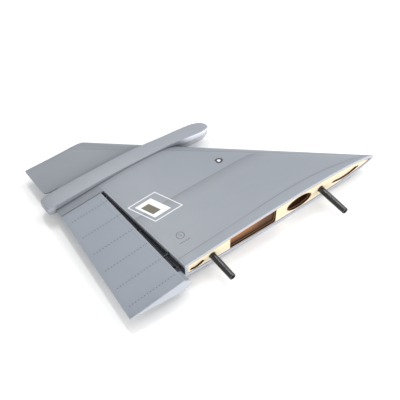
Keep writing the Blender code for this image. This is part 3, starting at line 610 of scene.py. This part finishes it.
def grain(finish, dark, along):
    """Veneer grain running along one axis: 0 for X, 1 for Y, 2 for Z."""
    stretch = [1.0, 1.0, 1.0]
    stretch[along] = 14.0
    fine = finish.noise(1.1, stretch, 4.0)
    broad = finish.noise(7.0, stretch, 2.0, shift=11.0)
    finish.tint(dark, (fine * 0.7 + broad * 0.5).ramp(0.45, 0.95) * 0.6)
    finish.rough = 0.52 + fine * 0.10 + broad * 0.12
    finish.raise_by(fine * 0.05)


def burnt_edges(finish, pitch):
    """Laser-burnt edges with the veneers' glue lines."""
    edge = abs(finish.ny).ramp(0.75, 0.45)
    layer = finish.y.wrap(pitch).ramp(0.0, pitch * 0.3)
    soot = finish.noise(4.0, (1.0, 0.3, 1.0), 4.0, shift=17.0)
    finish.tint(CHAR, edge)
    finish.tint(CHAR_DARK, edge * (layer * 0.65 + soot * 0.5).ramp(0.2, 0.8))


def rib_ply():
    finish = Finish("birch_ply", PLY)
    grain(finish, PLY_GRAIN, 0)
    # smoke stain round the oval hole and the tubes
    u = (finish.x - OVAL_AT[0]) / OVAL_SEMI[0]
    v = (finish.z - OVAL_AT[1]) / OVAL_SEMI[1]
    oval = (u * u + v * v).root()
    finish.tint(CHAR, oval.ramp(1.09, 1.0) * 0.55)
    for centre in (REAR_TUBE_X, FRONT_TUBE_X):
        u = finish.x - centre
        far = (u * u + finish.z * finish.z).root() - TUBE_R
        finish.tint(CHAR, far.ramp(2.1, 0.3) * 0.75)
    # pencilled ticks
    v = finish.z - TICKS_AT[1]
    tick = outside(finish.x - TICKS_AT[0], v.wrap(TICK_PITCH), TICK_HALF)
    held = (abs(v) - TICKS_REACH).ramp(0.4, 0.0) * finish.noise(1.5).ramp(0.4, 0.6)
    finish.tint(PENCIL, tick.ramp(0.5, 0.0) * held * 0.55)
    burnt_edges(finish, 1.5)
    return finish.done(specular=0.3)


def inner_ply():
    finish = Finish("inner_ply", INNER_PLY)
    grain(finish, INNER_GRAIN, 2)
    burnt_edges(finish, 1.0)
    return finish.done(specular=0.3)


def doubler_ply():
    """Second layer of the root: cream in the pockets, sooty round the bay and the oval."""
    finish = Finish("doubler_ply", DOUBLER)
    grain(finish, PLY_GRAIN, 2)
    bay = (abs(finish.x - BAY_MID_X) - BAY_SOOT).ramp(1.5, 0.0)
    oval = (abs(finish.x - OVAL_AT[0]) - OVAL_SOOT).ramp(1.5, 0.0)
    finish.tint(CHAR, bay.high(oval) * 0.85)
    burnt_edges(finish, 1.0)
    return finish.done(specular=0.3)


def spar_ply():
    finish = Finish("spar_ply", INNER_PLY)
    grain(finish, INNER_GRAIN, 1)
    edge = abs(finish.nz).ramp(0.4, 0.7)
    finish.tint(CHAR, edge * (0.6 + finish.noise(3.0) * 0.4))
    return finish.done(specular=0.3)


def bay_ply():
    """Back of the bay: warm brown ply, its brown partly painted shade deep in the bay, and darkened
    towards the front and along the lower edge as painted shade.
    """
    finish = Finish("bay_ply", BAY)
    grain(finish, BAY_GRAIN, 0)
    finish.tint(BAY_DARK, finish.x.ramp(168.0, 236.0) * 0.85)
    # dark streaks, wider and darker lower down
    streaks = ((1.5, 1.0, 0.5), (-3.0, 1.4, 0.6), (-7.6, 1.8, 0.75), (-12.0, 3.0, 0.8))
    for z, thick, amount in streaks:
        finish.tint(BAY_DARK, (finish.z - z).line(thick, 0.6) * amount)
    finish.tint(BAY_DARK, finish.z.ramp(-6.0, -15.0) * 0.5)
    return finish.done(specular=0.3)


# --- carbon, metal and plastic ------------------------------------------------------------------

def carbon(name, centre_x, radius):
    """Woven tow round a tube along Y, with film-wrap lines and dull cut ends."""
    finish = Finish(name, CARBON)
    turn = finish.z.angle(finish.x - centre_x) * radius
    # two crossing bands of tow, woven over and under
    pitch = 2.4
    one = (turn + finish.y) / pitch
    two = (turn - finish.y) / pitch
    over = (one * math.pi).sine() * (two * math.pi).sine()
    weave = over.ramp(-0.5, 0.5)
    finish.tint(CARBON_LIGHT, weave * 0.5)
    thread = finish.noise(0.5, (1.0, 6.0, 1.0), 2.0)
    finish.shade(0.8 + thread * 0.4)
    finish.raise_by(weave * 0.006)
    wrap = finish.y.wrap(6.0).line(0.25, 0.3)
    finish.raise_by(wrap * 0.008)
    cut = abs(finish.ny).ramp(0.6, 0.9)
    finish.tint(CARBON_END, cut * 0.7)
    finish.rough = 0.17 + finish.noise(5.0, detail=3.0) * 0.06 + cut * 0.3
    return finish.done(specular=0.5)


def steel():
    finish = Finish("plated_steel", STEEL)
    brush = finish.noise(0.6, (8.0, 8.0, 1.0), 3.0)
    finish.shade(0.8 + brush * 0.35)
    finish.rough = 0.22 + brush * 0.2
    finish.raise_by(brush * 0.01)
    return finish.done(metal=1.0)


def moulded(name, colour, rough):
    """Fine-grained plastic or paint, slightly clouded."""
    finish = Finish(name, colour)
    fine = finish.noise(0.45, detail=2.0)
    cloud = finish.noise(9.0, detail=2.0)
    finish.shade(0.85 + fine * 0.15 + cloud * 0.15)
    finish.rough = rough - 0.08 + fine * 0.16
    finish.raise_by(fine * 0.02)
    return finish.done(specular=0.45)


# --- edges ------------------------------------------------------------------------------------

def soften_group():
    """Join a part's triangles, shade it smoothly and keep its hard edges."""
    group = bpy.data.node_groups.new("soften", "GeometryNodeTree")
    group.interface.new_socket("Geometry", in_out="INPUT", socket_type="NodeSocketGeometry")
    limit = group.interface.new_socket("Limit", in_out="INPUT", socket_type="NodeSocketFloat")
    limit.default_value = math.radians(SMOOTH_BELOW)
    group.interface.new_socket("Geometry", in_out="OUTPUT", socket_type="NodeSocketGeometry")
    new = group.nodes.new
    link = group.links.new
    start = new("NodeGroupInput")
    end = new("NodeGroupOutput")
    strip = new("GeometryNodeRemoveAttribute")
    strip.inputs["Name"].default_value = "custom_normal"
    merge = new("GeometryNodeMergeByDistance")
    merge.inputs["Distance"].default_value = WELD_MM * MM
    faces = new("GeometryNodeSetShadeSmooth")
    faces.domain = "FACE"
    edges = new("GeometryNodeSetShadeSmooth")
    edges.domain = "EDGE"
    angle = new("GeometryNodeInputMeshEdgeAngle")
    flat = new("FunctionNodeCompare")
    flat.operation = "LESS_THAN"
    link(angle.outputs["Unsigned Angle"], flat.inputs[0])
    link(start.outputs["Limit"], flat.inputs[1])
    link(start.outputs["Geometry"], strip.inputs["Geometry"])
    link(strip.outputs["Geometry"], merge.inputs["Geometry"])
    link(merge.outputs["Geometry"], faces.inputs["Geometry"])
    link(faces.outputs["Geometry"], edges.inputs["Geometry"])
    link(flat.outputs[0], edges.inputs["Shade Smooth"])
    link(edges.outputs["Geometry"], end.inputs["Geometry"])
    return group, limit.identifier


SOFTEN, SOFTEN_LIMIT = soften_group()


def dress(names, material, limit=SMOOTH_BELOW):
    """Give parts their material and their shading."""
    for name in names:
        obj = NODES[name]
        obj.data.materials.clear()
        obj.data.materials.append(material)
        for polygon in obj.data.polygons:
            polygon.material_index = 0
        shading = obj.modifiers.new("soften", "NODES")
        shading.node_group = SOFTEN
        shading[SOFTEN_LIMIT] = math.radians(limit)


# --- rivets -----------------------------------------------------------------------------------

def tail_x(y):
    return min(TAIL_X0 + TAIL_SLOPE * y, TAIL_X_TIP)


def rudder_half(x, y):
    """Half thickness of the rudder behind its nose: a straight wedge to the trailing edge."""
    full = MAX_HALF * (1.0 - THIN_RATE * y / SPAN)
    hinge = HINGE_SLOPE * y
    share = (x - tail_x(y)) / (hinge - tail_x(y))
    return TAIL_HALF + (full * HINGE_SHARE - TAIL_HALF) * share


def rivet_head(shell, x, y, way):
    """A low dome standing square to the skin; way is 1 for the left side, -1 for the right."""
    def corner(point):
        return shell.verts.new((Vector((point.x, point.y, point.z * way)) - ORIGIN) * MM)

    foot = Vector((x, y, rudder_half(x, y)))
    slope = (rudder_half(x + 1.0, y) - rudder_half(x - 1.0, y)) / 2.0
    lean = Vector((-slope, 0.0, 1.0)).normalized()
    side = Vector((lean.z, 0.0, -lean.x))
    across = Vector((0.0, 1.0, 0.0))
    loops = []
    for reach, rise in RIVET_RINGS:
        loop = []
        for i in range(RIVET_SIDES):
            turn = 2.0 * math.pi * i / RIVET_SIDES
            out = (side * math.cos(turn) + across * math.sin(turn)) * (RIVET_R * reach)
            loop.append(corner(foot + out + lean * (rise * RIVET_RISE - RIVET_SINK)))
        loops.append(loop)
    top = corner(foot + lean * (RIVET_RISE - RIVET_SINK))
    for i in range(RIVET_SIDES):
        k = (i + 1) % RIVET_SIDES
        for low, high in zip(loops, loops[1:]):
            shell.faces.new((low[i], low[k], high[k], high[i]))
        shell.faces.new((loops[-1][i], loops[-1][k], top))
    shell.faces.new(tuple(reversed(loops[0])))


def rivet_rows(name, way):
    """Low domed rivet heads in rows, one mesh."""
    mesh = bpy.data.meshes.new(name)
    shell = bmesh.new()
    for row in range(RIVET_ROWS):
        y = RIVET_ROW0 + RIVET_ROW_STEP * row
        x = tail_x(y) + RIVET_TAIL
        while x < RIVET_FRONT:
            rivet_head(shell, x, y, way)
            x += RIVET_PITCH
    bmesh.ops.recalc_face_normals(shell, faces=shell.faces)
    shell.to_mesh(mesh)
    shell.free()
    for polygon in mesh.polygons:
        polygon.use_smooth = True
    obj = bpy.data.objects.new(name, mesh)
    bpy.context.scene.collection.objects.link(obj)
    return obj


# --- build ------------------------------------------------------------------------------------

dress(("fin_skin_left", "fin_skin_right", "leading_edge_strip"), fin_paint(), 42.0)
dress(("tip_skin_left", "tip_skin_right", "tip_cap"), tip_paint(), 42.0)
dress(("trailing_band",), band_paint())
dress(("rudder_skin_left", "rudder_skin_right"), rudder_paint(), 30.0)
dress(("rudder_root_rib",), end_cap_paint(), 30.0)
dress(("rudder_nose",), nose_paint())
dress(("pod_shell_left", "pod_shell_right"), pod_paint(), 28.0)
dress(("root_rib",), rib_ply())
dress(("root_doubler",), doubler_ply())
dress(("tube_rib_front", "tube_rib_rear", "mid_rib_front", "mid_rib_rear", "outer_rib",
       "tip_root_rib", "servo_tray", "rudder_mid_rib", "rudder_top_rib"), inner_ply())
dress(("main_spar",), spar_ply())
dress(("bay_wall",), bay_ply())
dress(("joiner_tube_rear",), carbon("carbon_rear", REAR_TUBE_X, TUBE_R))
dress(("joiner_tube_front",), carbon("carbon_front", FRONT_TUBE_X, TUBE_R))
for number, dowel_x in enumerate(DOWEL_XS, 1):
    dress(("tip_dowel_%d" % number,), carbon("carbon_dowel_%d" % number, dowel_x, DOWEL_R))
dress(("servo_screw_1", "servo_screw_2", "hinge_pin_1", "hinge_pin_2", "hinge_pin_3", "horn_pin",
       "servo_shaft", "arm_pin"), steel())
# the push rod is black as painted shade for the dark hinge gap it crosses
dress(("push_rod",), moulded("wire_painted_shade", ROD_SHADE_BLACK, 0.45))
# the hinge lugs are black as painted shade in the hinge gap; the servo case and lid are black
# plastic
dress(("hinge_lug_1", "hinge_lug_2", "hinge_lug_3", "servo_case", "servo_lid"),
      moulded("black_plastic", BLACK_PLASTIC, 0.5))
dress(("rudder_horn", "servo_arm"), moulded("dark_nylon", DARK_NYLON, 0.45))

RIVET_FINISH = moulded("rivet_paint", RIVET_GREY, 0.5)
for name, way in (("rivets_left", 1.0), ("rivets_right", -1.0)):
    rivets = rivet_rows(name, way)
    rivets.data.materials.append(RIVET_FINISH)
    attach(rivets, "rudder")


# --- studio -------------------------------------------------------------------------------------

def floor():
    mesh = bpy.data.meshes.new("floor")
    half = FLOOR_SIZE / 2.0
    corners = [(-half, -half, 0), (half, -half, 0), (half, half, 0), (-half, half, 0)]
    mesh.from_pydata(corners, [], [(0, 1, 2, 3)])
    obj = bpy.data.objects.new("floor", mesh)
    obj.location = (0.0, 0.0, -FLOOR_DROP)
    bpy.context.scene.collection.objects.link(obj)
    paint = bpy.data.materials.new("floor_white")
    paint.use_nodes = True
    shader = paint.node_tree.nodes["Principled BSDF"]
    shader.inputs["Base Color"].default_value = FLOOR_WHITE + (1.0,)
    shader.inputs["Roughness"].default_value = 0.9
    shader.inputs["Specular IOR Level"].default_value = 0.1
    mesh.materials.append(paint)


def sky():
    """White all round, brighter at the horizon than overhead."""
    world = bpy.data.worlds.new("studio")
    world.use_nodes = True
    tree = world.node_tree
    back = tree.nodes["Background"]
    place = tree.nodes.new("ShaderNodeTexCoord")
    split = tree.nodes.new("ShaderNodeSeparateXYZ")
    tree.links.new(place.outputs["Generated"], split.inputs[0])
    fade = tree.nodes.new("ShaderNodeMapRange")
    tree.links.new(split.outputs[2], fade.inputs["Value"])
    fade.inputs["To Min"].default_value = SKY_HORIZON
    fade.inputs["To Max"].default_value = SKY_ZENITH
    tree.links.new(fade.outputs["Result"], back.inputs["Strength"])
    back.inputs["Color"].default_value = (1.0, 1.0, 1.0, 1.0)
    bpy.context.scene.world = world


def lamps():
    for name, at, target, width, height, watts in LAMPS:
        light = bpy.data.lights.new(name, "AREA")
        light.shape = "RECTANGLE"
        light.size = width
        light.size_y = height
        light.energy = watts
        obj = bpy.data.objects.new(name, light)
        obj.location = at
        obj.rotation_euler = (Vector(target) - Vector(at)).to_track_quat("-Z", "Y").to_euler()
        bpy.context.scene.collection.objects.link(obj)


def camera():
    lens = bpy.data.cameras.new("camera")
    lens.lens = LENS_MM
    lens.sensor_width = SENSOR_MM
    lens.clip_start = 0.05
    lens.clip_end = 100.0
    obj = bpy.data.objects.new("camera", lens)
    obj.location = CAMERA_AT
    obj.rotation_euler = (-Vector(CAMERA_BACK)).to_track_quat("-Z", "Y").to_euler()
    bpy.context.scene.collection.objects.link(obj)
    bpy.context.scene.camera = obj


floor()
sky()
lamps()
camera()
bpy.context.scene.view_settings.view_transform = "Standard"
